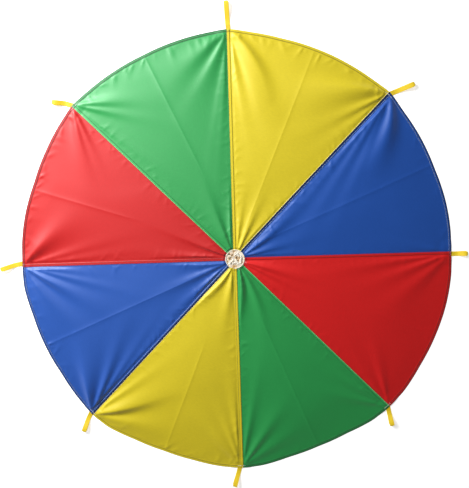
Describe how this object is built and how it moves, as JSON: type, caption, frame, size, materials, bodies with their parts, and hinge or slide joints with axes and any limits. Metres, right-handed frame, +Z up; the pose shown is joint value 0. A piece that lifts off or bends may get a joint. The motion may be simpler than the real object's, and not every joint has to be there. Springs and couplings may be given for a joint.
{
  "type": "play parachute",
  "caption": "Round play parachute of felled coloured gores, with a netted vent and webbing loops round its hem, laid out flat.",
  "frame": {"origin": "middle of the vent, on the surface that the cloth lies on", "axes": "+Z up out of the cloth; +X along the seam between the blue and the red gore on the right; +Y along the seam between the yellow and the green gore at the top"},
  "size_m": [1.9843, 2.0754, 0.018],
  "materials": {
    "cloth_red": "satin woven polyester, red",
    "cloth_green": "satin woven polyester, green",
    "cloth_blue": "satin woven polyester, blue",
    "cloth_yellow": "satin woven polyester, yellow",
    "webbing": "flat woven webbing, yellow",
    "net": "knitted mesh, ivory",
    "binding": "folded tape, ivory"
  },
  "bodies": {
    "canopy": {"gore_blue_right": "cloth_blue", "gore_yellow_top": "cloth_yellow", "gore_green_top": "cloth_green", "gore_red_left": "cloth_red", "gore_blue_left": "cloth_blue", "gore_yellow_bottom": "cloth_yellow", "gore_green_bottom": "cloth_green", "gore_red_right": "cloth_red", "vent_net": "net", "vent_binding": "binding", "handle_tail_right": "webbing", "handle_tail_upper_right": "webbing", "handle_tail_top": "webbing", "handle_tail_upper_left": "webbing", "handle_tail_left": "webbing", "handle_tail_lower_left": "webbing", "handle_tail_bottom": "webbing", "handle_tail_lower_right": "webbing"},
    "loop_right": {"handle_right": "webbing"},
    "loop_upper_right": {"handle_upper_right": "webbing"},
    "loop_top": {"handle_top": "webbing"},
    "loop_upper_left": {"handle_upper_left": "webbing"},
    "loop_left": {"handle_left": "webbing"},
    "loop_lower_left": {"handle_lower_left": "webbing"},
    "loop_bottom": {"handle_bottom": "webbing"},
    "loop_lower_right": {"handle_lower_right": "webbing"}
  },
  "joints": [
    {"name": "flop_right", "type": "hinge", "parent": "canopy", "child": "loop_right", "pos_m": [0.92188, -0.00455, 0.001], "axis": [0.0209, -0.9998, 0], "range_deg": [-150, 150]},
    {"name": "flop_upper_right", "type": "hinge", "parent": "canopy", "child": "loop_upper_right", "pos_m": [0.67125, 0.66775, 0.001], "axis": [0.3461, -0.9382, 0], "range_deg": [-150, 150]},
    {"name": "flop_top", "type": "hinge", "parent": "canopy", "child": "loop_top", "pos_m": [0.00202, 0.95532, 0.001], "axis": [0.9984, 0.0558, 0], "range_deg": [-150, 150]},
    {"name": "flop_upper_left", "type": "hinge", "parent": "canopy", "child": "loop_upper_left", "pos_m": [-0.6649, 0.66592, 0.001], "axis": [0.314, 0.9494, 0], "range_deg": [-150, 150]},
    {"name": "flop_left", "type": "hinge", "parent": "canopy", "child": "loop_left", "pos_m": [-0.92269, 0.0056, 0.001], "axis": [-0.1513, 0.9885, 0], "range_deg": [-150, 150]},
    {"name": "flop_lower_left", "type": "hinge", "parent": "canopy", "child": "loop_lower_left", "pos_m": [-0.66339, -0.67772, 0.001], "axis": [-0.8821, 0.471, 0], "range_deg": [-150, 150]},
    {"name": "flop_bottom", "type": "hinge", "parent": "canopy", "child": "loop_bottom", "pos_m": [-0.01231, -0.94744, 0.001], "axis": [-0.9613, 0.2756, 0], "range_deg": [-150, 150]},
    {"name": "flop_lower_right", "type": "hinge", "parent": "canopy", "child": "loop_lower_right", "pos_m": [0.64782, -0.68574, 0.001], "axis": [-0.9785, -0.2062, 0], "range_deg": [-150, 150]}
  ]
}
